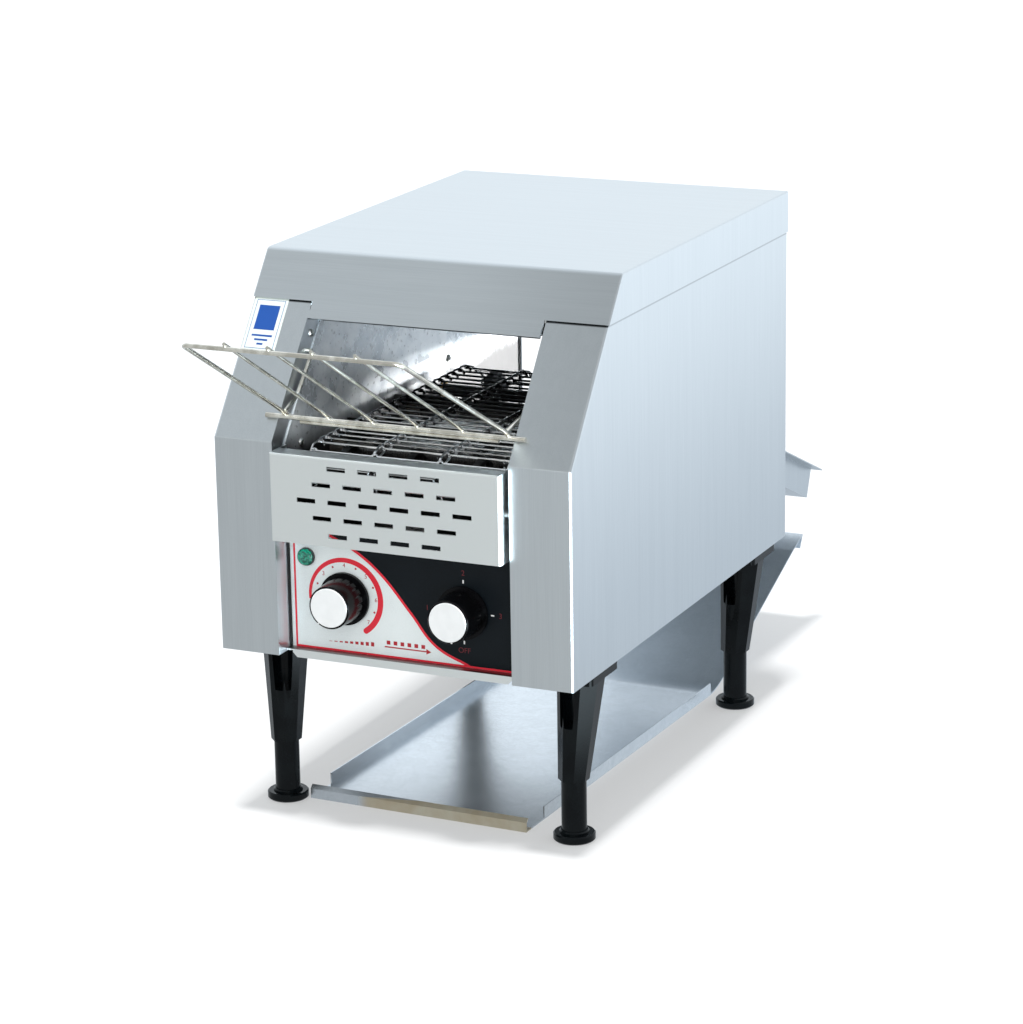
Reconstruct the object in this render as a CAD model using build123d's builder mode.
from build123d import *
import os
from math import atan2, cos, degrees, hypot, pi, radians, sin, tan

# Conveyor toaster on four adjustable legs, in millimetres.
# X runs across the machine, +Y to its rear, +Z up; the worktop is z = 0.
# Bread slides down the wire rack on to the belt, is toasted between two banks of heaters,
# drops down the slide at the rear and returns under the casing on the toast tray.

os.makedirs("parts", exist_ok=True)

# ---------------------------------------------------------------- driving dimensions
casing_width = 288.0
casing_depth = 435.0
casing_bottom = 132.0
casing_top = 419.0
bend_height = 295.0  # where the upright front turns into the slope
slope_run = 95.0  # depth over which the slope climbs to the top
belt_drop = 5.0  # from the bend down to the belt and to the guard's top
belt_top = bend_height - belt_drop
floor_drop = 54.0  # from the belt down to the chamber's floor
floor_height = belt_top - floor_drop
sheet = 1.0
column_width = 48.3
return_depth = 24.0  # sheet turned back from the columns' inner edges
rim = 12.0  # flanges turned inwards at the bottom and the rear
panel_round = 2.0
panel_x = casing_width / 2 - sheet  # outer face of a side panel
column_inner = panel_x - column_width
chamber_half = column_inner - sheet  # inner face of a galvanised liner
base_top = casing_bottom + 2 * sheet

hood_skirt = 33.0  # how far the hood comes down over the sides
hood_drop = 45.0  # how far its front comes down between the columns
hood_hem = 7.0
hood_bend_round = 6.0
hood_edge_round = 1.5
hood_gap = 2.0  # between the side panels' top edge and the hood

fit = 0.2  # gap all round a sheet that sits between two others
running = 0.05  # radial clearance of a turning or sliding fit
liner_inset = 18.0  # depth of plain column return in front of the galvanised liner
liner_top = casing_top - 9.0

control_inset = 20.0
control_sheet = 1.2
control_gap = 3.0  # from the control panel's top to the chamber's floor
base_lip_depth = 5.0
base_lip_inset = 12.0

vent_forward = 10.0  # how far the vented guard stands in front of the columns
vent_gap = 2.7  # between the guard and a column
vent_half_width = column_inner - vent_gap
vent_height = 66.5
vent_top = bend_height - belt_drop
vent_bottom = vent_top - vent_height
vent_ledge = 15.0
vent_return = 26.0
vent_round = 1.5
slot_length = 15.0
slot_height = 3.4
slot_pitch = 25.0
slot_row_pitch = 12.6
slot_counts = (4, 5, 6, 5, 4)

knob_x = 48.0
knob_height = 176.0
knob_gap = 1.2
knob_skirt_radius = 20.0
knob_skirt = 2.6
knob_radius = 17.6
knob_top_radius = 16.2
knob_length = 26.3
knob_cap_radius = 14.8
knob_cap = 1.0
knob_flutes = 18
knob_bore = 14.0
spindle_radius = 3.0
dial_body_radius = 12.0
dial_body = 12.0
switch_size = 30.0
switch_depth = 34.0
bush_radius = 4.5
lamp_margin = 15.2  # from the column's inner edge
lamp_x = lamp_margin - column_inner
lamp_drop = 31.3  # under the chamber's floor
lamp_height = floor_height - lamp_drop
lamp_radius = 6.8
lamp_stem = 5.0
lamp_depth = 24.0
lamp_bezel = 2.0
lamp_proud = 5.0
lamp_rim = 0.6
lamp_bevel = 1.4
lamp_nut = 3.0

belt_pitch = 12.0
belt_wire = 1.8
belt_link_radius = 0.75
belt_offset = 5.0  # the belt runs slightly to one side of the chamber's middle
belt_gap = 8.7  # from the belt to the nearer liner
belt_width = 2 * (chamber_half - belt_offset - belt_gap)
belt_sections = 3
wheel_teeth = 10
belt_spans = 21  # belt pitches between the two shafts
front_shaft_inset = 33.0
belt_shaft_radius = 5.0
wheel_width = 6.0
wheel_clearance = 0.4
hub_radius = 9.0
hub_length = 16.0
bearing_radius = 6.5
bearing_flange_radius = 8.5
bearing_flange = 3.0

heater_radius = 5.0
upper_heater_drop = 56.0
upper_heater_height = casing_top - upper_heater_drop
upper_heater_insets = (135.0, 205.0, 275.0)
lower_heater_drop = 21.5
lower_heater_height = belt_top - lower_heater_drop
lower_heater_insets = (95.0, 160.0, 225.0)
holder_radius = 7.0
holder_flange_radius = 9.5
holder_length = 12.0
holder_flange = 3.0
upper_reflector_drop = 33.0
upper_reflector_height = casing_top - upper_reflector_drop
lower_reflector_drop = 34.0
lower_reflector_height = belt_top - lower_reflector_drop
upper_reflector_lip = 8.0
lower_reflector_lip = 5.0
rail_radius = 2.5
rail_insets = (120.0, 200.0)
rail_spacing = belt_width / 2

slide_gap = 21.0  # from the drive shaft to the slide
chute_angle = 23.0
sill_height = 190.0
outlet_height = 110.0
outlet_margin = 2.0
chute_depth = 180.0
chute_overlap = 5.3  # how far the chute reaches past the outlet's sides
chute_wall = 26.0
chute_flange = 10.5
chute_hook_gap = 6.7  # from the chute's hook to the outlet's sides
chute_hook = 8.0
slide_wall = 12.0

tray_gap = 11.2  # between the tray and a leg, less the tray's offset
tray_offset = -10.0
tray_turn = 1.8  # degrees; the tray lies loose on the worktop, a little askew
tray_front = 52.0
tray_face = 7.6
tray_lip = 10.4
tray_strip = 3.0
tray_wall = 10.0
tray_wall_start = 83.0
tray_wall_end = casing_depth - 36.0
ramp_start = casing_depth - 25.0
ramp_angle = 23.8
ramp_round = 80.0
ramp_height = 76.0
ramp_ledge = 22.0
ramp_ledge_rise = 7.8
ramp_hook = (5.0, 9.0)  # back under the ramp and down

rack_bar_radius = 2.0
rack_frame_radius = 1.7
rack_rod_radius = 1.3
rack_bar_overlap = 9.3  # how far the foot bar lies over a column
rack_bar_half = column_inner + rack_bar_overlap
rack_bar_rise = 17.4  # over the bend
rack_bar_height = bend_height + rack_bar_rise
rack_foot_gap = 4.7  # from the frame's foot to a column
rack_foot_half = column_inner - rack_foot_gap
rack_taper = 7.0
rack_head_half = rack_foot_half - rack_taper
rack_reach = 142.5  # the head bar's distance in front of the columns
rack_head_rise = 104.0
rack_head_height = bend_height + rack_head_rise
rack_rods = 4
rack_rod_tip = 2.5
rack_rod_tail = 9.0
rack_corner = 5.0
rack_stay_gaps = (18.7, 11.7)  # from the stay's ends to the columns
rack_stay = (rack_stay_gaps[0] - column_inner, column_inner - rack_stay_gaps[1])
rack_arm_gap = 3.7  # from an arm to the column beside it
rack_arm_x = column_inner - rack_arm_gap
rack_elbow = (25.5, 27.5)  # from a pivot forwards and down to its arm's elbow
rack_weld = 0.3
pivot_rise = 55.6
pivot_height = bend_height + pivot_rise
pivot_depth = 14.37  # under the sloping faces
pivot_length = 8.0
rest_gap = 0.3

leg_side_inset = 23.5
leg_x = panel_x - leg_side_inset
leg_front_inset = 52.0
leg_rear_inset = 53.0
leg_insets = (leg_front_inset, casing_depth - leg_rear_inset)
leg_top_width = 33.0
leg_bottom_width = 21.6
leg_splay = (2.8, 9.2)  # how far the leg's top stands outwards and to the rear of its foot
leg_bottom = 47.0
leg_flange = 7.0
leg_flange_size = (38.4, 50.0)
leg_bore_depth = 74.0
foot_tube_radius = 9.5
foot_tube_length = 80.0
foot_disc_radius = 15.8
foot_disc = 6.0
foot_collar_radius = 11.2
foot_collar = 2.0
foot_bevel = 1.0
leg_bolt_radius = 4.0
leg_nut_radius = 7.5
leg_nut = 6.0

motor_inset = 260.0
motor_drop = 2.0  # under the middle of the room below the chamber
motor_height = (base_top + floor_height) / 2 - motor_drop
gearbox_width = 60.0
gearbox_height = 66.0
gearbox_length = 30.0
motor_radius = 27.0
motor_length = 42.0
motor_shaft_radius = 4.0
chain_gap = 9.8  # from the column's inner edge
chain_x = column_inner + chain_gap
chain_pitch = 6.35
chain_plate = 1.0
chain_plate_height = 5.2
chain_roller_radius = 1.6
chain_roller_length = 2.8
motor_sprocket_teeth = 12
shaft_sprocket_teeth = 16
sprocket_width = 2.2
sprocket_clearance = 0.3

screw_head_radius = 3.2
screw_head = 2.0
screw_radius = 2.0
screw_round = 1.2
screw_rim = 7.0  # from a screw to the edge of its sheet
side_screw_rise = 11.7  # from the rack's pivot up to the screw above it
panel_screw_rise = 23.0
panel_screw_pitch = 95.0
hood_screw_pitch = 74.0

# ---------------------------------------------------------------- derived places
slope = atan2(casing_top - bend_height, slope_run)
ramp_run = (ramp_height - sheet) / tan(radians(ramp_angle))
tray_rear = ramp_start + ramp_run + ramp_ledge
wheel_radius = belt_pitch / (2 * sin(pi / wheel_teeth))
belt_line = belt_top - belt_wire / 2
shaft_height = belt_line - wheel_radius
rear_shaft_inset = front_shaft_inset + belt_spans * belt_pitch
slide_start = rear_shaft_inset + slide_gap
chute_tilt = radians(chute_angle)
chute_rear = casing_depth + rest_gap + chute_depth + chute_wall * sin(chute_tilt)
front_y = -(chute_rear - rack_reach - rack_frame_radius) / 2
outlet_half = chamber_half - outlet_margin
chute_half_width = outlet_half + chute_overlap
chute_hook_half_width = outlet_half - chute_hook_gap
tray_half_width = leg_x - leg_top_width / 2 - tray_gap


# ---------------------------------------------------------------- drawing helpers
def from_front(inset):
    """Y of a point this far behind the faces of the front columns."""
    return front_y + inset


def front_plane(inset):
    """Upright plane that faces the user, this far behind the columns; its normal is -Y."""
    return Plane.XZ.offset(-from_front(inset))


def slope_inset(height, depth=0.0):
    """Inset of the sloping front at a height, at a depth under its surface."""
    return ((height - bend_height) * cos(slope) + depth) / sin(slope)


def section(points):
    """Face in a plane of constant X, through points given as inset and height."""
    return Polygon(*[(from_front(inset), height) for inset, height in points], align=None)


def strip(points, thickness):
    """Outline of a bent sheet: its path, and the path shifted to its left by the thickness."""
    steps = zip(points, points[1:])
    normals = [Vector(z0 - z1, y1 - y0).normalized() for (y0, z0), (y1, z1) in steps]
    pairs = zip([normals[0]] + normals, normals + [normals[-1]])
    shifts = [(a + b) * (thickness / (1 + a.dot(b))) for a, b in pairs]
    far = [(y + shift.X, z + shift.Y) for (y, z), shift in zip(points, shifts)]
    return points + far[::-1]


def slab(points, low, high, mode=Mode.ADD):
    """Solid with the outline of the points, from x = low to x = high."""
    with BuildSketch(Plane.YZ.offset(low)) as face:
        section(points)
    extrude(face.sketch, amount=high - low, mode=mode)


def block(x, inset, z, mode=Mode.ADD):
    """Box between two values of x, of inset and of z."""
    low, high = (x[0], from_front(inset[0]), z[0]), (x[1], from_front(inset[1]), z[1])
    middle = Vector(*[(a + b) / 2 for a, b in zip(low, high)])
    with Locations(middle):
        Box(*[b - a for a, b in zip(low, high)], mode=mode)


def rod(start, end, radius, mode=Mode.ADD):
    """Round bar between two points, each given as x, inset and z."""
    a, b = (Vector(x, from_front(inset), z) for x, inset, z in (start, end))
    with Locations(Plane(origin=(a + b) / 2, z_dir=b - a)):
        Cylinder(radius, (b - a).length, mode=mode)


def cross_bar(low, high, inset, z, radius, mode=Mode.ADD):
    """Round bar along X."""
    rod((low, inset, z), (high, inset, z), radius, mode)


pivot_inset = slope_inset(pivot_height, pivot_depth)

# ---------------------------------------------------------------- side panels
panel_top = casing_top - sheet - hood_gap
slope_end = casing_top - sheet - hood_bend_round
crease_depth = (sin(slope) - 1) / cos(slope)  # how far the crease drops per depth of sheet
return_path = [
    (0, casing_bottom),
    (0, bend_height),
    (slope_inset(slope_end), slope_end),
]


def column_form(depth, low, rear, outer, corner_round, top_corner):
    """Block behind the column's faces at a depth under them, with its front corners rounded."""
    crease = bend_height + depth * crease_depth
    outline = [
        (depth, low),
        (depth, crease),
        (slope_inset(slope_end, depth), slope_end),
        top_corner,
        (rear, top_corner[1]),
        (rear, low),
    ]
    with BuildPart() as form:
        slab(outline, column_inner - sheet, outer)
        faces = [face for face in form.faces() if face.normal_at().Y < -0.6]
        edges = [edge for face in faces for edge in face.edges()]
        corners = [edge for edge in edges if edge.center().X > outer - 0.01]
        creases = faces[0].edges().filter_by(lambda edge: abs(edge.center().Z - crease) < 0.01)
        fillet(corners + creases, corner_round)
    return form.part


outer_form = column_form(
    0,
    casing_bottom,
    casing_depth,
    panel_x,
    panel_round,
    (slope_inset(slope_end) + hood_bend_round, panel_top),
)
inner_form = column_form(
    sheet,
    casing_bottom - sheet,
    casing_depth + sheet,
    panel_x - sheet,
    panel_round - sheet,
    (slope_inset(casing_top, sheet), casing_top),
)
with BuildPart() as side_panel_right:
    # one folded sheet: the side, the column face, its return and the turned-in rims
    add(outer_form)
    add(inner_form, mode=Mode.SUBTRACT)
    block(
        (column_inner - 2 * sheet, column_inner),
        (-sheet, casing_depth),
        (0, casing_top),
        Mode.SUBTRACT,
    )
    slab(strip(return_path, -return_depth), column_inner, column_inner + sheet)
    block(
        (panel_x - rim, panel_x - sheet),
        (sheet, casing_depth),
        (casing_bottom, casing_bottom + sheet),
    )
    block(
        (panel_x - 2 * rim, panel_x - sheet),
        (casing_depth - sheet, casing_depth),
        (casing_bottom, panel_top),
    )
    # holes for the rack's pivot pins
    cross_bar(
        column_inner - sheet,
        column_inner + 2 * sheet,
        pivot_inset,
        pivot_height,
        rack_frame_radius + running,
        Mode.SUBTRACT,
    )
side_panel_right.part.label = "side_panel_right"
export_step(side_panel_right.part, "parts/side_panel_right.step")

with BuildPart() as side_panel_left:
    mirror(side_panel_right.part, about=Plane.YZ)
side_panel_left.part.label = "side_panel_left"
export_step(side_panel_left.part, "parts/side_panel_left.step")

# ---------------------------------------------------------------- hood
skirt_bottom = casing_top - hood_skirt


def hood_form(depth, rear, half, bend_round, edge_round, low):
    """The hood's outer or inner form, at a depth under its outer surface."""
    top = casing_top - depth
    outline = [
        (slope_inset(low, depth - sheet), low),
        (slope_inset(top, depth - sheet), top),
        (rear, top),
        (rear, low),
    ]
    with BuildPart() as prism:
        slab(outline, -half, half)
        bend = prism.edges().filter_by(Axis.X).group_by(Axis.Z)[-1].sort_by(Axis.Y)[0]
        fillet(bend, bend_round)
        ends = prism.faces().sort_by(Axis.X)
        rims = [edge for face in (ends[0], ends[-1]) for edge in face.edges()]
        rear_y = from_front(rear)
        rims = [e for e in rims if e.center().Z > low + 0.01 and e.center().Y < rear_y - 0.01]
        fillet(rims, edge_round)
    return prism.part


outer_hood = hood_form(
    0, casing_depth + sheet, panel_x + sheet, hood_bend_round, hood_edge_round, skirt_bottom
)
inner_hood = hood_form(
    sheet,
    casing_depth,
    panel_x,
    hood_bend_round - sheet,
    hood_edge_round - sheet,
    skirt_bottom - sheet,
)
drop_bottom = casing_top - hood_drop
hem_top = drop_bottom + hood_hem * sin(slope)
drop_path = [(slope_inset(z), z) for z in (skirt_bottom + sheet, drop_bottom)]
hem_path = [(slope_inset(z), z) for z in (hem_top, drop_bottom)]
with BuildPart() as top_hood:
    add(outer_hood)
    add(inner_hood, mode=Mode.SUBTRACT)
    # the front drops lower between the columns and ends in a closed hem
    slab(strip(drop_path, -sheet), -chamber_half, chamber_half)
    slab(strip(hem_path, -2 * sheet), -chamber_half, chamber_half)
top_hood.part.label = "top_hood"
export_step(top_hood.part, "parts/top_hood.step")

# ---------------------------------------------------------------- rear panel and base
back_half = panel_x - sheet - fit
rear_face = casing_depth - sheet
gland_margin = 12.3  # from the column's inner edge
gland_x = column_inner + gland_margin
gland_height = sill_height + 66.0  # clear of the chute when it is lifted off
gland_radius = 8.0
gland_bore = 4.2
gland_nut_radius = 10.5
gland_nut = 5.0
gland_length = 16.0
gland_round = 1.5
louvre_count = 7
side_louvres = 3
louvre_pitch = 12.0
louvre_size = (4.0, 30.0)

with BuildPart() as rear_panel:
    block((-back_half, back_half), (rear_face - sheet, rear_face), (base_top, panel_top - fit))
    block(
        (-outlet_half, outlet_half),
        (rear_face - 2 * sheet, rear_face + sheet),
        (sill_height, sill_height + outlet_height),
        Mode.SUBTRACT,
    )
    with BuildSketch(front_plane(rear_face)):
        for x, count in ((-gland_x, side_louvres), (0, louvre_count)):
            with Locations((x, (base_top + sill_height) / 2)):
                with GridLocations(louvre_pitch, 1, count, 1):
                    SlotOverall(louvre_size[1], louvre_size[0], rotation=90)
        with Locations((gland_x, gland_height)):
            Circle(gland_radius + fit)
    extrude(amount=sheet, both=True, mode=Mode.SUBTRACT)
rear_panel.part.label = "rear_panel"
export_step(rear_panel.part, "parts/rear_panel.step")

with BuildPart() as cord_gland:
    inner_face = rear_face - sheet
    for start, end, radius in (
        (inner_face - gland_nut, inner_face, gland_nut_radius),
        (rear_face, rear_face + gland_nut, gland_nut_radius),
        (inner_face - 2 * gland_nut, rear_face + gland_length, gland_radius),
    ):
        rod((gland_x, start, gland_height), (gland_x, end, gland_height), radius)
    chamfer(cord_gland.edges().sort_by(Axis.Y)[-1], gland_round)
    rod(
        (gland_x, inner_face - 3 * gland_nut, gland_height),
        (gland_x, rear_face + 2 * gland_length, gland_height),
        gland_bore,
        Mode.SUBTRACT,
    )
cord_gland.part.label = "cord_gland"
export_step(cord_gland.part, "parts/cord_gland.step")

with BuildPart() as base_plate:
    block(
        (-back_half, back_half),
        (return_depth + fit, rear_face - sheet - fit),
        (casing_bottom + sheet, base_top),
    )
    front_half = column_inner - fit
    block(
        (-front_half, front_half),
        (base_lip_inset, return_depth + 2 * fit),
        (casing_bottom + sheet, base_top),
    )
    # the folded lip that shows under the control panel, with its lower corners cut off
    lip_low = casing_bottom - base_lip_depth + sheet
    with BuildSketch(front_plane(base_lip_inset + sheet)):
        with Locations((0, (lip_low + base_top) / 2)):
            Rectangle(2 * (front_half - base_lip_depth), base_top - lip_low)
    extrude(amount=sheet)
    lip_corners = base_plate.edges().filter_by(Axis.Y).group_by(Axis.Z)[0]
    chamfer(lip_corners, base_lip_depth * 0.7)
    # clearance holes for the leg bolts
    for x in (-leg_x, leg_x):
        for inset in leg_insets:
            rod(
                (x, inset, casing_bottom),
                (x, inset, base_top + sheet),
                leg_bolt_radius + fit,
                Mode.SUBTRACT,
            )
base_plate.part.label = "base_plate"
export_step(base_plate.part, "parts/base_plate.step")

# ---------------------------------------------------------------- galvanised liners
liner_outline = [
    (liner_inset, base_top),
    (liner_inset, bend_height + liner_inset * crease_depth),
    (slope_inset(liner_top, liner_inset), liner_top),
    (rear_face - sheet - fit, liner_top),
    (rear_face - sheet - fit, base_top),
]
heater_places = [(inset, upper_heater_height) for inset in upper_heater_insets]
heater_places += [(inset, lower_heater_height) for inset in lower_heater_insets]
shaft_places = [(front_shaft_inset, shaft_height), (rear_shaft_inset, shaft_height)]


def liner(side):
    """Upright inner wall; side is +1 for the right-hand one, which the motor shaft passes."""
    low, high = sorted((side * chamber_half, side * column_inner))
    with BuildPart() as wall:
        slab(liner_outline, low, high)
        for inset, z in heater_places:
            cross_bar(low - 1, high + 1, inset, z, holder_radius + running, Mode.SUBTRACT)
        for inset, z in shaft_places:
            cross_bar(low - 1, high + 1, inset, z, bearing_radius + running, Mode.SUBTRACT)
        if side > 0:
            cross_bar(
                low - 1, high + 1, motor_inset, motor_height, 2 * motor_shaft_radius, Mode.SUBTRACT
            )
    return wall.part


for name, side in (("liner_right", 1), ("liner_left", -1)):
    wall = liner(side)
    wall.label = name
    export_step(wall, f"parts/{name}.step")

# ---------------------------------------------------------------- floors and reflectors
inner_half = chamber_half - fit

with BuildPart() as chamber_floor:
    floor_inset = control_inset + control_sheet + fit
    block(
        (-inner_half, inner_half),
        (floor_inset, slide_start - 1),
        (floor_height, floor_height + sheet),
    )
    for x in ((-inner_half, sheet - inner_half), (inner_half - sheet, inner_half)):
        block(x, (2 * rim, slide_start - 1), (floor_height - upper_reflector_lip, floor_height))
chamber_floor.part.label = "chamber_floor"
export_step(chamber_floor.part, "parts/chamber_floor.step")


def reflector(height, start, end, lip):
    """Channel across the chamber, with its edges turned by lip, down if negative."""
    edge = sorted((height, height + lip))
    with BuildPart() as channel:
        block((-inner_half, inner_half), (start, end), (height, height + sheet))
        block((-inner_half, inner_half), (start, start + sheet), edge)
        block((-inner_half, inner_half), (end - sheet, end), edge)
        for x in ((-inner_half, sheet - inner_half), (inner_half - sheet, inner_half)):
            block(x, (start, end), edge)
    return channel.part


upper_reflector = reflector(
    upper_reflector_height,
    slope_inset(upper_reflector_height, liner_inset) + fit,
    casing_depth - 3 * rim,
    -upper_reflector_lip,
)
upper_reflector.label = "upper_reflector"
export_step(upper_reflector, "parts/upper_reflector.step")

lower_reflector = reflector(
    lower_reflector_height,
    front_shaft_inset + 2.5 * rim,
    rear_shaft_inset - 2.5 * rim,
    lower_reflector_lip,
)
lower_reflector.label = "lower_reflector"
export_step(lower_reflector, "parts/lower_reflector.step")

slide_end = rear_face - 2 * sheet - 5
slide_rise = (slide_end - slide_start) * tan(chute_tilt)
slide_low = sill_height + (rear_face - slide_end) * tan(chute_tilt) + 2 * sheet
slide_path = [(slide_start, slide_low + slide_rise), (slide_end, slide_low)]
with BuildPart() as toast_slide:
    slab(strip(slide_path, sheet), -inner_half, inner_half)
    slab(strip(slide_path, slide_wall), -inner_half, sheet - inner_half)
    slab(strip(slide_path, slide_wall), inner_half - sheet, inner_half)
toast_slide.part.label = "toast_slide"
export_step(toast_slide.part, "parts/toast_slide.step")

# ---------------------------------------------------------------- front panels
vent_front = -vent_forward
with BuildPart() as vent_form:
    block(
        (-vent_half_width, vent_half_width),
        (vent_front, vent_front + vent_return),
        (vent_bottom, vent_top),
    )
    front_edges = vent_form.faces().sort_by(Axis.Y)[0].edges()
    fillet([edge for edge in front_edges if edge.center().Z > vent_bottom + 1], vent_round)

with BuildPart() as vent_panel:
    # guard in front of the controls' top: slotted face, ledge and side returns
    add(vent_form.part)
    hollow = vent_half_width - sheet
    block(
        (-hollow, hollow),
        (vent_front + sheet, vent_front + 2 * vent_return),
        (vent_bottom - sheet, vent_top - sheet),
        Mode.SUBTRACT,
    )
    block(
        (-hollow, hollow),
        (vent_front + vent_ledge, vent_front + 2 * vent_return),
        (vent_bottom, vent_top + sheet),
        Mode.SUBTRACT,
    )
    slots_top = (vent_bottom + vent_top) / 2 + slot_row_pitch * (len(slot_counts) - 1) / 2
    with BuildSketch(front_plane(vent_front - sheet)):
        for row, count in enumerate(slot_counts):
            with Locations((0, slots_top - row * slot_row_pitch)):
                with GridLocations(slot_pitch, 1, count, 1):
                    Rectangle(slot_length, slot_height)
    extrude(amount=-3 * sheet, mode=Mode.SUBTRACT)
    screw_z = (vent_bottom + vent_top) / 2
    screw_inset = vent_front + vent_return - screw_rim
    cross_bar(
        -2 * vent_half_width, 2 * vent_half_width, screw_inset, screw_z, screw_radius, Mode.SUBTRACT
    )
vent_panel.part.label = "vent_panel"
export_step(vent_panel.part, "parts/vent_panel.step")

with BuildPart() as vent_spacers:
    # spacers and screws that carry the vented guard on the columns' returns
    for side in (-1, 1):
        cross_bar(
            side * vent_half_width, side * column_inner, screw_inset, screw_z, screw_head_radius
        )
        cross_bar(
            side * (vent_half_width - sheet - screw_head),
            side * (vent_half_width - sheet),
            screw_inset,
            screw_z,
            screw_head_radius,
        )
        cross_bar(
            side * (vent_half_width - sheet - screw_head),
            side * column_inner,
            screw_inset,
            screw_z,
            screw_radius,
        )
vent_spacers.part.label = "vent_spacers"
export_step(vent_spacers.part, "parts/vent_spacers.step")

with BuildPart() as control_panel:
    control_top = floor_height - control_gap
    block(
        (-inner_half, inner_half),
        (control_inset, control_inset + control_sheet),
        (base_top, control_top),
    )
    with BuildSketch(front_plane(control_inset - 1)):
        with Locations((-knob_x, knob_height), (knob_x, knob_height)):
            Circle(bush_radius + running)
        with Locations((lamp_x, lamp_height)):
            Circle(lamp_stem + running)
    extrude(amount=-2 * control_sheet - 2, mode=Mode.SUBTRACT)
control_panel.part.label = "control_panel"
export_step(control_panel.part, "parts/control_panel.step")

# ---------------------------------------------------------------- lamp and controls
panel_back = control_inset + control_sheet

with BuildPart() as lamp_body:
    for start, end, radius in (
        (control_inset - lamp_bezel, control_inset, lamp_radius),
        (control_inset - lamp_bezel, panel_back + lamp_depth, lamp_stem),
        (panel_back, panel_back + lamp_nut, lamp_radius),
    ):
        rod((lamp_x, start, lamp_height), (lamp_x, end, lamp_height), radius)
lamp_body.part.label = "lamp_body"
export_step(lamp_body.part, "parts/lamp_body.step")

with BuildPart() as lamp_lens:
    rod(
        (lamp_x, control_inset - lamp_proud, lamp_height),
        (lamp_x, control_inset - lamp_bezel, lamp_height),
        lamp_radius - lamp_rim,
    )
    chamfer(lamp_lens.edges().group_by(Axis.Y)[0], lamp_bevel)
lamp_lens.part.label = "lamp_lens"
export_step(lamp_lens.part, "parts/lamp_lens.step")

knob_back = control_inset - knob_gap
knob_front = knob_back - knob_length
spindle_end = panel_back + 8


def knob(x):
    """Fluted black knob with a skirt and a recess for its cap."""
    with BuildPart() as grip:
        rod((x, knob_back - knob_skirt, knob_height), (x, knob_back, knob_height), knob_skirt_radius)
        with BuildSketch(front_plane(knob_back - knob_skirt)):
            with Locations((x, knob_height)):
                Circle(knob_radius)
        with BuildSketch(front_plane(knob_front)):
            with Locations((x, knob_height)):
                Circle(knob_top_radius)
        loft()
        chamfer(grip.edges().group_by(Axis.Y)[0], 0.6)
        with BuildSketch(front_plane(knob_front - 1)):
            with Locations((x, knob_height)):
                with PolarLocations(knob_radius + 1.2, knob_flutes):
                    Circle(1.9)
        extrude(amount=-(knob_length - knob_skirt - 1), mode=Mode.SUBTRACT)
        rod(
            (x, knob_front - 1, knob_height),
            (x, knob_front + knob_cap / 2, knob_height),
            knob_cap_radius,
            Mode.SUBTRACT,
        )
        # bore for the spindle, and a wider relief over the panel bush and its nut
        rod(
            (x, knob_back - knob_bore, knob_height),
            (x, knob_back + 1, knob_height),
            spindle_radius,
            Mode.SUBTRACT,
        )
        rod(
            (x, knob_back - 6, knob_height),
            (x, knob_back + 1, knob_height),
            bush_radius + 4,
            Mode.SUBTRACT,
        )
    return grip.part


def knob_disc(x):
    """Thin turned cap that lies in the knob's front recess."""
    with BuildPart() as disc:
        rod(
            (x, knob_front - knob_cap / 2, knob_height),
            (x, knob_front + knob_cap / 2, knob_height),
            knob_cap_radius,
        )
        chamfer(disc.edges().group_by(Axis.Y)[0], 0.3)
    return disc.part


def spindle(x):
    """Control spindle that turns with its knob."""
    with BuildPart() as shaft:
        rod((x, knob_back - knob_bore, knob_height), (x, spindle_end, knob_height), spindle_radius)
    return shaft.part


for name, x in (("speed", -knob_x), ("selector", knob_x)):
    for kind, make in (("knob", knob), ("knob_cap", knob_disc), ("spindle", spindle)):
        piece = make(x)
        piece.label = f"{name}_{kind}"
        export_step(piece, f"parts/{name}_{kind}.step")

bush_front = control_inset - 5


def panel_bush(x):
    """Threaded bush through the control panel with its nut, added to the open part."""
    rod((x, bush_front, knob_height), (x, panel_back, knob_height), bush_radius)
    with BuildSketch(front_plane(control_inset)) as nut:
        with Locations((x, knob_height)):
            RegularPolygon(bush_radius + 2.5, 6)
    extrude(nut.sketch, amount=2)


def spindle_bore(x):
    """Running bore for the spindle, cut from the open part."""
    start = (x, bush_front - 1, knob_height)
    end = (x, spindle_end + 0.5, knob_height)
    rod(start, end, spindle_radius + running, Mode.SUBTRACT)


with BuildPart() as speed_dial:
    panel_bush(-knob_x)
    dial_back = panel_back + dial_body
    rod((-knob_x, panel_back, knob_height), (-knob_x, dial_back, knob_height), dial_body_radius)
    block(
        (-knob_x - dial_body_radius + 3, -knob_x + dial_body_radius - 3),
        (panel_back + 2, panel_back + 4),
        (knob_height - 2 * dial_body_radius, knob_height),
    )
    spindle_bore(-knob_x)
speed_dial.part.label = "speed_dial"
export_step(speed_dial.part, "parts/speed_dial.step")

with BuildPart() as selector_switch:
    panel_bush(knob_x)
    half_switch = switch_size / 2
    block(
        (knob_x - half_switch, knob_x + half_switch),
        (panel_back, panel_back + switch_depth),
        (knob_height - half_switch, knob_height + half_switch),
    )
    for side in (-1, 1):
        for x in (-8, 0, 8):
            block(
                (knob_x + x - 2, knob_x + x + 2),
                (panel_back + switch_depth, panel_back + switch_depth + 7),
                (knob_height + 9 * side - 0.4, knob_height + 9 * side + 0.4),
            )
    spindle_bore(knob_x)
selector_switch.part.label = "selector_switch"
export_step(selector_switch.part, "parts/selector_switch.step")

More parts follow.
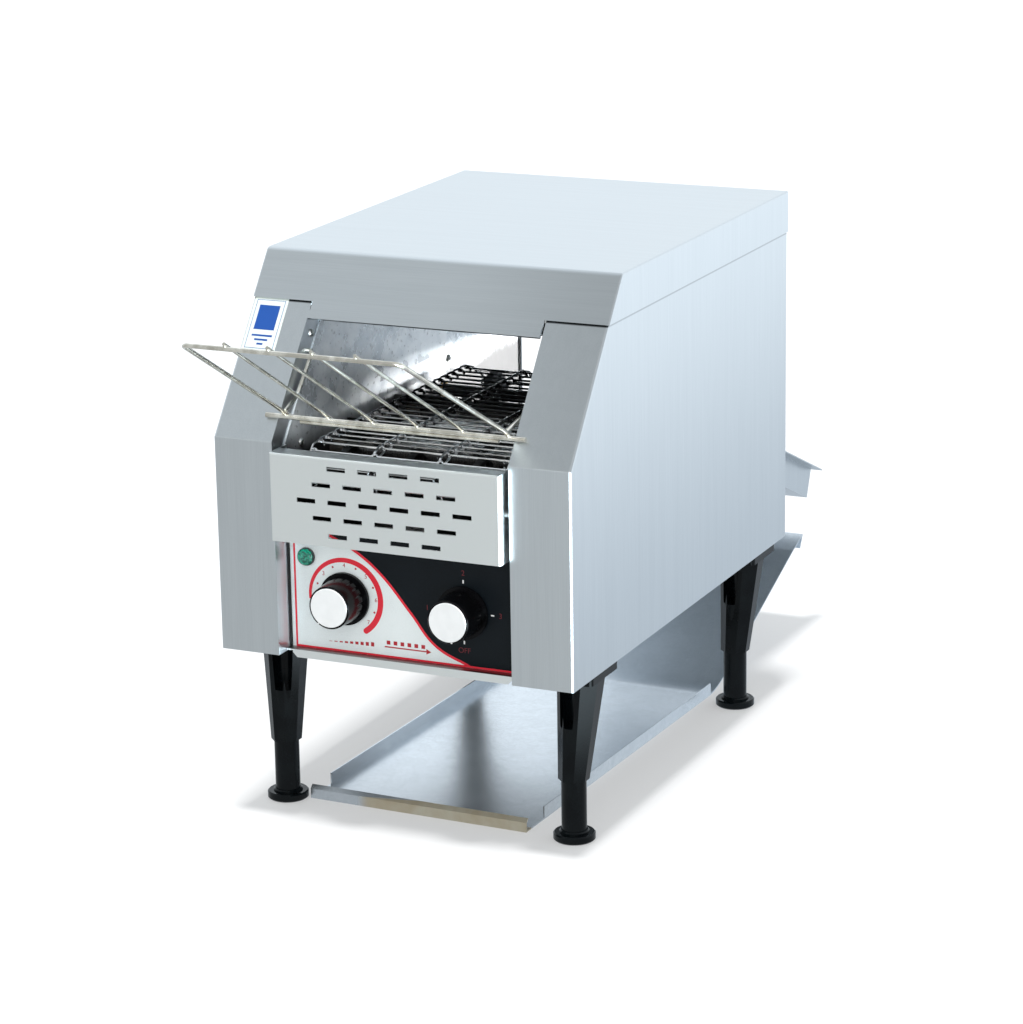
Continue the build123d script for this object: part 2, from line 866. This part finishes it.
# ---------------------------------------------------------------- belt, shafts and wheels
section_width = belt_width / belt_sections
link_lines = [belt_width * (i / belt_sections - 0.5) for i in range(belt_sections + 1)]
link_lines[0] += belt_wire
link_lines[-1] -= belt_wire


def belt_loop():
    """Inset and height of each strand's middle, once round the belt from the front shaft."""
    points = [(front_shaft_inset + i * belt_pitch, belt_line) for i in range(belt_spans + 1)]
    step = 2 * pi / wheel_teeth
    wraps = [pi / 2 - step * i for i in range(1, wheel_teeth // 2)]
    rear = [
        (rear_shaft_inset + wheel_radius * cos(a), shaft_height + wheel_radius * sin(a)) for a in wraps
    ]
    lower = [(inset, 2 * shaft_height - belt_line) for inset, z in points[::-1]]
    front = [
        (front_shaft_inset - wheel_radius * cos(a), shaft_height + wheel_radius * sin(a))
        for a in wraps[::-1]
    ]
    return points + rear + lower + front


with BuildPart() as strand:
    # a cross wire along X with a short link to the next wire at each joint line
    with Locations((belt_offset, 0, 0)):
        Cylinder(belt_wire / 2, belt_width, rotation=(0, 90, 0))
    link = belt_pitch - belt_wire / 2 - fit
    for x in link_lines:
        with Locations((belt_offset + x, link / 2, 0)):
            Cylinder(belt_link_radius, link, rotation=(90, 0, 0))

loop = belt_loop()
strands = []
for (y0, z0), (y1, z1) in zip(loop, loop[1:] + loop[:1]):
    turn = degrees(atan2(z1 - z0, y1 - y0))
    strands.append(strand.part.moved(Location((0, from_front(y0), z0), (turn, 0, 0))))
wire_belt = Compound(label="wire_belt", children=strands)
export_step(wire_belt, "parts/wire_belt.step")

wheel_tip = wheel_radius - belt_wire / 2 - wheel_clearance


def belt_wheels(inset):
    """Pocketed wheels that carry the belt round a shaft, one in each belt section."""
    with BuildPart() as wheels:
        for i in range(belt_sections):
            x = belt_offset + section_width * (i - (belt_sections - 1) / 2)
            cross_bar(x - wheel_width / 2, x + wheel_width / 2, inset, shaft_height, wheel_tip)
            with BuildSketch(Plane.YZ.offset(x - wheel_width / 2)):
                with Locations((from_front(inset), shaft_height)):
                    with PolarLocations(wheel_radius, wheel_teeth, start_angle=90):
                        Circle(belt_wire)
                    with PolarLocations((wheel_tip + hub_radius) / 2, 5):
                        Circle((wheel_tip - hub_radius) / 2 - 1.5)
            extrude(amount=wheel_width, mode=Mode.SUBTRACT)
            cross_bar(x - hub_length / 2, x + hub_length / 2, inset, shaft_height, hub_radius)
        cross_bar(-belt_width, belt_width, inset, shaft_height, belt_shaft_radius, Mode.SUBTRACT)
    return wheels.part


for name, inset in (("drive_wheels", rear_shaft_inset), ("idler_wheels", front_shaft_inset)):
    wheels = belt_wheels(inset)
    wheels.label = name
    export_step(wheels, f"parts/{name}.step")

shaft_out = chain_x + sprocket_width / 2 + 6
with BuildPart() as drive_shaft:
    left_end = -column_inner - bearing_flange - 2
    cross_bar(left_end, shaft_out, rear_shaft_inset, shaft_height, belt_shaft_radius)
    chamfer(drive_shaft.edges(), 0.6)
drive_shaft.part.label = "drive_shaft"
export_step(drive_shaft.part, "parts/drive_shaft.step")

with BuildPart() as idler_shaft:
    reach = column_inner + bearing_flange + 2
    cross_bar(-reach, reach, front_shaft_inset, shaft_height, belt_shaft_radius)
    chamfer(idler_shaft.edges(), 0.6)
idler_shaft.part.label = "idler_shaft"
export_step(idler_shaft.part, "parts/idler_shaft.step")

with BuildPart() as shaft_bushes:
    for inset in (front_shaft_inset, rear_shaft_inset):
        for side in (-1, 1):
            cross_bar(
                side * (chamber_half - 2), side * column_inner, inset, shaft_height, bearing_radius
            )
            cross_bar(
                side * column_inner,
                side * (column_inner + bearing_flange),
                inset,
                shaft_height,
                bearing_flange_radius,
            )
        cross_bar(
            -belt_width, belt_width, inset, shaft_height, belt_shaft_radius + running, Mode.SUBTRACT
        )
shaft_bushes.part.label = "shaft_bushes"
export_step(shaft_bushes.part, "parts/shaft_bushes.step")

with BuildPart() as belt_rails:
    # two rails under the upper run, carried by two bars between the liners
    rail_z = belt_line - belt_wire / 2 - rest_gap - rail_radius
    for inset in rail_insets:
        cross_bar(-chamber_half, chamber_half, inset, rail_z - rail_radius, rail_radius)
    for side in (-1, 1):
        x = belt_offset + side * rail_spacing / 2
        rod(
            (x, front_shaft_inset + wheel_radius, rail_z),
            (x, rear_shaft_inset - wheel_radius, rail_z),
            rail_radius,
        )
belt_rails.part.label = "belt_rails"
export_step(belt_rails.part, "parts/belt_rails.step")

# ---------------------------------------------------------------- heaters
heater_half = column_inner + holder_flange + 5


def heater_bank(places):
    """Quartz tubes across the chamber."""
    with BuildPart() as bank:
        for inset, z in places:
            cross_bar(-heater_half, heater_half, inset, z, heater_radius)
    return bank.part


for name, places in (("upper_heaters", heater_places[:3]), ("lower_heaters", heater_places[3:])):
    bank = heater_bank(places)
    bank.label = name
    export_step(bank, f"parts/{name}.step")

with BuildPart() as heater_holders:
    for inset, z in heater_places:
        for side in (-1, 1):
            cross_bar(
                side * (column_inner - holder_length), side * column_inner, inset, z, holder_radius
            )
            cross_bar(
                side * column_inner,
                side * (column_inner + holder_flange),
                inset,
                z,
                holder_flange_radius,
            )
        cross_bar(-belt_width, belt_width, inset, z, heater_radius, Mode.SUBTRACT)
heater_holders.part.label = "heater_holders"
export_step(heater_holders.part, "parts/heater_holders.step")

# ---------------------------------------------------------------- drive
chain_radii = [
    chain_pitch / (2 * sin(pi / teeth)) for teeth in (motor_sprocket_teeth, shaft_sprocket_teeth)
]
chain_centres = [(motor_inset, motor_height), (rear_shaft_inset, shaft_height)]


def sprocket(centre, teeth, pitch_radius, bore):
    """Small chain sprocket whose tips stay just inside the chain's rollers."""
    tip = pitch_radius - chain_roller_radius - sprocket_clearance
    inset, z = centre
    with BuildPart() as wheel:
        cross_bar(
            chain_x - sprocket_width / 2, chain_x + sprocket_width / 2, inset, z, tip
        )
        with BuildSketch(Plane.YZ.offset(chain_x - sprocket_width / 2)):
            with Locations((from_front(inset), z)):
                with PolarLocations(pitch_radius, teeth):
                    Circle(chain_roller_radius + 1.2)
        extrude(amount=sprocket_width, mode=Mode.SUBTRACT)
        cross_bar(chain_x - sprocket_width / 2 - 3, chain_x, inset, z, bore + 2.5)
        cross_bar(0, 2 * chain_x, inset, z, bore, Mode.SUBTRACT)
    return wheel.part


sprockets = (
    ("motor_sprocket", chain_centres[0], motor_sprocket_teeth, chain_radii[0], motor_shaft_radius),
    ("shaft_sprocket", chain_centres[1], shaft_sprocket_teeth, chain_radii[1], belt_shaft_radius),
)
for name, centre, teeth, pitch_radius, bore in sprockets:
    wheel = sprocket(centre, teeth, pitch_radius, bore)
    wheel.label = name
    export_step(wheel, f"parts/{name}.step")


def chain_outline(grow):
    """Outline of the chain round both sprockets, moved outwards from its rollers by grow."""
    with BuildSketch(Plane.YZ.offset(chain_x)) as outline:
        for (inset, z), radius in zip(chain_centres, chain_radii):
            with Locations((from_front(inset), z)):
                Circle(radius + grow)
        make_hull()
    return outline.sketch.face()


with BuildPart() as drive_chain:
    # two runs of side plates with the rollers between them
    half_roller = chain_roller_length / 2
    for grow, mode in ((1, Mode.ADD), (-1, Mode.SUBTRACT)):
        band = chain_outline(grow * chain_plate_height / 2)
        extrude(band, amount=half_roller + chain_plate, both=True, mode=mode)
    extrude(chain_outline(chain_plate_height), amount=half_roller, both=True, mode=Mode.SUBTRACT)
    roller_path = chain_outline(0).outer_wire()
    rollers = round(roller_path.length / chain_pitch)
    for i in range(rollers):
        place = roller_path @ (i / rollers)
        with Locations(Plane(origin=place, z_dir=(1, 0, 0))):
            Cylinder(chain_roller_radius, chain_roller_length)
drive_chain.part.label = "drive_chain"
export_step(drive_chain.part, "parts/drive_chain.step")

with BuildPart() as gear_motor:
    half_box = gearbox_width / 2
    gear_low = motor_height - gearbox_height / 2
    block(
        (chamber_half - gearbox_length, chamber_half),
        (motor_inset - half_box, motor_inset + half_box),
        (gear_low, gear_low + gearbox_height),
    )
    fillet(gear_motor.edges().filter_by(Axis.X), 5)
    can_end = chamber_half - gearbox_length - motor_length
    cross_bar(can_end, chamber_half - gearbox_length, motor_inset, motor_height, motor_radius)
    fillet(gear_motor.edges().sort_by(Axis.X)[0], 3)
    cross_bar(can_end - 6, can_end, motor_inset, motor_height, 7)
    cross_bar(
        chamber_half - 15,
        2 * chamber_half,
        motor_inset,
        motor_height,
        motor_shaft_radius + running,
        Mode.SUBTRACT,
    )
gear_motor.part.label = "gear_motor"
export_step(gear_motor.part, "parts/gear_motor.step")

with BuildPart() as motor_shaft:
    cross_bar(chamber_half - 14, chain_x + 5, motor_inset, motor_height, motor_shaft_radius)
    chamfer(motor_shaft.edges(), 0.5)
motor_shaft.part.label = "motor_shaft"
export_step(motor_shaft.part, "parts/motor_shaft.step")

# ---------------------------------------------------------------- electrics in the base
board_size = (55.0, 45.0)
board_sheet = 1.6
board_gap = 6.0
board_start = 70.0
board_low = 150.0
board_post = 2.5
board_margin = 5.0
# parts on the board: inset and height from its corner, depth, height and how far they stand out
board_parts = (
    (8, 8, 18, 26, 14),
    (32, 6, 18, 12, 9),
    (32, 22, 3, 18, 18),
)
capacitor_radius = 3.4
capacitor_height = 12.0
capacitor_places = ((41.0, 30.0), (49.0, 30.0))

with BuildPart() as speed_board:
    back = board_gap - chamber_half
    face = back + board_sheet
    depth, height = board_size
    block((back, face), (board_start, board_start + depth), (board_low, board_low + height))
    for inset in (board_start + board_margin, board_start + depth - board_margin):
        for z in (board_low + board_margin, board_low + height - board_margin):
            cross_bar(-chamber_half, back, inset, z, board_post)
    for along_board, up_board, deep, high, proud in board_parts:
        inset, z = board_start + along_board, board_low + up_board
        block((face, face + proud), (inset, inset + deep), (z, z + high))
    for along_board, up_board in capacitor_places:
        inset, z = board_start + along_board, board_low + up_board
        cross_bar(face, face + capacitor_height, inset, z, capacitor_radius)
speed_board.part.label = "speed_board"
export_step(speed_board.part, "parts/speed_board.step")

terminal_margin = 10.7  # from the right liner to the terminal block
terminal_gap = 41.0  # from the rear panel to the terminal block
terminal_size = (48.0, 18.0, 16.0)
terminal_ways = 3
terminal_x = chamber_half - terminal_margin - terminal_size[0]

with BuildPart() as terminal_block:
    length, depth, height = terminal_size
    terminal_start = rear_face - terminal_gap - depth
    block(
        (terminal_x, terminal_x + length),
        (terminal_start, terminal_start + depth),
        (base_top, base_top + height),
    )
    way = length / terminal_ways
    for i in range(terminal_ways):
        middle = terminal_x + way * (i + 0.5)
        screw_at = terminal_start + depth / 2
        block(
            (middle - way * 0.35, middle + way * 0.35),
            (terminal_start - 1, terminal_start + depth * 0.3),
            (base_top + height * 0.4, base_top + height + 1),
            Mode.SUBTRACT,
        )
        rod(
            (middle, screw_at, base_top + height * 0.6),
            (middle, screw_at, base_top + height + 1),
            way * 0.22,
            Mode.SUBTRACT,
        )
terminal_block.part.label = "terminal_block"
export_step(terminal_block.part, "parts/terminal_block.step")

# ---------------------------------------------------------------- chute and toast tray
chute_length = chute_depth / cos(chute_tilt)
chute_plane = Plane(
    origin=(0, from_front(casing_depth + rest_gap), sill_height),
    x_dir=(1, 0, 0),
    z_dir=(0, sin(chute_tilt), cos(chute_tilt)),
)
with BuildPart(chute_plane) as toast_chute:
    middle = chute_length / 2
    with Locations((0, middle, sheet / 2)):
        Box(2 * chute_half_width, chute_length, sheet)
    for side in (-1, 1):
        with Locations((side * (chute_half_width - sheet / 2), middle, chute_wall / 2)):
            Box(sheet, chute_length, chute_wall)
        reach = chute_flange + sheet
        edge = side * (chute_half_width - sheet + reach / 2)
        with Locations((edge, middle, chute_wall - sheet / 2)):
            Box(reach, chute_length, sheet)
    # the hook that hangs over the sill of the rear outlet
    hook_front = rear_face - sheet - rest_gap - sheet
    hook_path = [
        (casing_depth + 2, sill_height + sheet),
        (hook_front, sill_height + sheet),
        (hook_front, sill_height - chute_hook),
    ]
    with BuildSketch(Plane.YZ.offset(-chute_hook_half_width)):
        section(strip(hook_path, sheet))
    extrude(amount=2 * chute_hook_half_width)
toast_chute.part.label = "toast_chute"
export_step(toast_chute.part, "parts/toast_chute.step")

ramp_top = ramp_start + ramp_run
ramp_slope = radians(ramp_angle)
ramp_reach = ramp_round * tan(ramp_slope / 2)  # from the bend's corner to where it starts
tray_left = tray_offset - tray_half_width
tray_right = tray_offset + tray_half_width
ledge_end = (tray_rear - sheet, ramp_height - sheet + ramp_ledge_rise)
tray_flat = [
    (tray_front + tray_strip, tray_lip),
    (tray_front, tray_face),
    (tray_front, 0),
    (ramp_start - ramp_reach, 0),
]
tray_ramp = [
    (ramp_start + ramp_reach * cos(ramp_slope), ramp_reach * sin(ramp_slope)),
    (ramp_top, ramp_height - sheet),
    ledge_end,
    (ledge_end[0] - ramp_hook[0], ledge_end[1] - ramp_hook[1]),
]
bend_middle = (from_front(ramp_start - ramp_reach), ramp_round)
with BuildPart() as toast_tray:
    slab(strip(tray_flat, sheet), tray_left, tray_right)
    slab(strip(tray_ramp, sheet), tray_left, tray_right)
    # the sheet is rolled, not creased, where the ramp leaves the worktop
    with BuildSketch(Plane.YZ.offset(tray_left)) as bend:
        with BuildLine():
            under = CenterArc(bend_middle, ramp_round, -90, ramp_angle)
            over = CenterArc(bend_middle, ramp_round - sheet, -90, ramp_angle)
            Line(under @ 0, over @ 0)
            Line(under @ 1, over @ 1)
        make_face()
    extrude(bend.sketch, amount=tray_right - tray_left)
    for x in ((tray_left, tray_left + sheet), (tray_right - sheet, tray_right)):
        block(x, (tray_wall_start, tray_wall_end), (0, tray_wall))
tray_corner = (tray_offset, from_front(tray_front), 0)
turned_tray = toast_tray.part.rotate(Axis(tray_corner, (0, 0, 1)), -tray_turn)
turned_tray.label = "toast_tray"
export_step(turned_tray, "parts/toast_tray.step")

# ---------------------------------------------------------------- bread rack
rack_bar_inset = slope_inset(rack_bar_height, -(rack_bar_radius + rest_gap))
rise = rack_head_height - rack_bar_height
run = rack_reach + rack_bar_inset
rod_length = hypot(rise, run)
along = (-run / rod_length, rise / rod_length)  # up the rods, in inset and height
above = (along[1], -along[0])  # square to them, on the bread's side


def on_rack(x, inset, z, up=0.0, over=0.0):
    """Point moved up the rods and off the rack's plane."""
    return (x, inset + along[0] * up + above[0] * over, z + along[1] * up + above[1] * over)


def wire(points, radii, radius):
    """Bent wire through points given as x, inset and z, added to the open part."""
    with BuildLine() as path:
        FilletPolyline(*[(x, from_front(inset), z) for x, inset, z in points], radius=radii)
    with BuildSketch(path.line ^ 0) as profile:
        Circle(radius)
    sweep(profile.sketch, path=path.line)


with BuildPart() as bread_rack:
    foot = (rack_bar_inset, rack_bar_height)
    head = (-rack_reach, rack_head_height)
    frame_over = rack_bar_radius + rack_frame_radius - rack_weld
    rod_over = rack_bar_radius + rack_rod_radius - rack_weld
    head_over = rack_frame_radius + rack_rod_radius - rack_weld
    cross_bar(-rack_bar_half, rack_bar_half, *foot, rack_bar_radius)
    # a thinner stiffening wire welded under the foot bar
    cross_bar(*rack_stay, foot[0], foot[1] - rod_over, rack_rod_radius)
    # frame: both outer rods and the head bar in one bent wire
    wire(
        [
            on_rack(-rack_foot_half, *foot, -rack_rod_tail, frame_over),
            (-rack_head_half, *head),
            (rack_head_half, *head),
            on_rack(rack_foot_half, *foot, -rack_rod_tail, frame_over),
        ],
        rack_corner,
        rack_frame_radius,
    )
    for i in range(1, rack_rods + 1):
        share = 2 * i / (rack_rods + 1) - 1
        rod(
            on_rack(share * rack_foot_half, *foot, -rack_rod_tail, rod_over),
            on_rack(share * rack_head_half, *head, rack_rod_tip, head_over),
            rack_rod_radius,
        )
    # arms back to the pivots in the columns' returns
    for side in (-1, 1):
        wire(
            [
                on_rack(side * (rack_foot_half - 2), *foot, 2, frame_over),
                (side * rack_arm_x, pivot_inset - rack_elbow[0], pivot_height - rack_elbow[1]),
                (side * rack_arm_x, pivot_inset, pivot_height),
                (side * (rack_arm_x + pivot_length), pivot_inset, pivot_height),
            ],
            [6, 3],
            rack_frame_radius,
        )
bread_rack.part.label = "bread_rack"
export_step(bread_rack.part, "parts/bread_rack.step")

# ---------------------------------------------------------------- legs and feet
leg_top = casing_bottom - leg_flange
bolt_end = leg_bottom + leg_bore_depth + 1
leg_names = [
    (f"{end}_{side}", x, inset)
    for end, inset in zip(("front", "rear"), leg_insets)
    for side, x in (("left", -leg_x), ("right", leg_x))
]


def leg(x, inset):
    """Tapered eight-sided leg with a top flange and a bore for the foot's tube."""
    top_x, top_inset = x + leg_splay[0] * (1 if x > 0 else -1), inset + leg_splay[1]
    with BuildPart() as housing:
        for middle, z, across in (
            ((x, from_front(inset)), leg_bottom, leg_bottom_width),
            ((top_x, from_front(top_inset)), leg_top, leg_top_width),
        ):
            with BuildSketch(Plane.XY.offset(z)):
                with Locations(middle):
                    RegularPolygon(across / 2, 8, major_radius=False, rotation=22.5)
        loft()
        width, depth = leg_flange_size
        block(
            (top_x - width / 2, top_x + width / 2),
            (top_inset - depth / 2, top_inset + depth / 2),
            (leg_top, casing_bottom),
        )
        fillet(housing.edges().filter_by(Axis.Z), leg_flange / 2)
        bore_end = leg_bottom + leg_bore_depth
        tube = foot_tube_radius + running
        rod((x, inset, leg_bottom - 1), (x, inset, bore_end), tube, Mode.SUBTRACT)
        rod((x, inset, bolt_end), (x, inset, leg_top + 2 * leg_flange), leg_bolt_radius, Mode.SUBTRACT)
    return housing.part


def foot(x, inset):
    """Foot disc with its collar and the tube that screws up into the leg."""
    collar_top = foot_disc + foot_collar
    corners = [
        (0, 0),
        (foot_disc_radius - foot_bevel, 0),
        (foot_disc_radius, foot_bevel),
        (foot_disc_radius, foot_disc - foot_bevel),
        (foot_disc_radius - foot_bevel, foot_disc),
        (foot_collar_radius, foot_disc),
        (foot_collar_radius, collar_top - foot_bevel),
        (foot_collar_radius - foot_bevel, collar_top),
        (foot_tube_radius, collar_top),
        (foot_tube_radius, collar_top + foot_tube_length),
        (0, collar_top + foot_tube_length),
    ]
    middle = (x, from_front(inset), 0)
    with BuildPart() as tube:
        with BuildSketch(Plane(origin=middle, x_dir=(1, 0, 0), z_dir=(0, -1, 0))):
            Polygon(*corners, align=None)
        revolve(axis=Axis(middle, (0, 0, 1)))
    return tube.part


for name, x, inset in leg_names:
    for kind, make in (("leg", leg), ("foot", foot)):
        piece = make(x, inset)
        piece.label = f"{kind}_{name}"
        export_step(piece, f"parts/{kind}_{name}.step")

with BuildPart() as leg_bolts:
    for name, x, inset in leg_names:
        rod((x, inset, bolt_end), (x, inset, base_top + leg_nut + 2), leg_bolt_radius)
        with BuildSketch(Plane.XY.offset(base_top)):
            with Locations((x, from_front(inset))):
                RegularPolygon(leg_nut_radius, 6)
        extrude(amount=leg_nut)
leg_bolts.part.label = "leg_bolts"
export_step(leg_bolts.part, "parts/leg_bolts.step")

# ---------------------------------------------------------------- screws
liner_screw_places = [
    (front_shaft_inset + 10.5, shaft_height + 15),
    (rear_shaft_inset + 10.7, shaft_height + 23.3),
]
return_screw_places = [(pivot_inset + 5.5, pivot_height + side_screw_rise)]
panel_screw_places = [
    (side * (panel_x - rim), casing_bottom + panel_screw_rise + i * panel_screw_pitch)
    for side in (-1, 1)
    for i in range(3)
]
hood_screw_places = [
    ((i - 1.5) * hood_screw_pitch, casing_top - 0.6 * hood_skirt) for i in range(4)
]


def side_screws(places, x):
    """Domed heads on both sides of the machine, standing inwards from the faces at x."""
    with BuildPart() as heads:
        for inset, z in places:
            for side in (-1, 1):
                cross_bar(side * (x - screw_head), side * x, inset, z, screw_head_radius)
        crowns = [e for e in heads.edges().filter_by(GeomType.CIRCLE) if abs(e.center().X) < x - 1]
        fillet(crowns, screw_round)
    return heads.part


def rear_screws(places, face):
    """Domed heads on an upright face at the rear."""
    with BuildPart() as heads:
        for x, z in places:
            rod((x, face, z), (x, face + screw_head, z), screw_head_radius)
        fillet(heads.edges().group_by(Axis.Y)[-1], screw_round)
    return heads.part


screw_groups = (
    ("liner_screws", side_screws(liner_screw_places, chamber_half)),
    ("return_screws", side_screws(return_screw_places, column_inner)),
    ("panel_screws", rear_screws(panel_screw_places, casing_depth)),
    ("hood_screws", rear_screws(hood_screw_places, casing_depth + sheet)),
)
for name, heads in screw_groups:
    heads.label = name
    export_step(heads, f"parts/{name}.step")
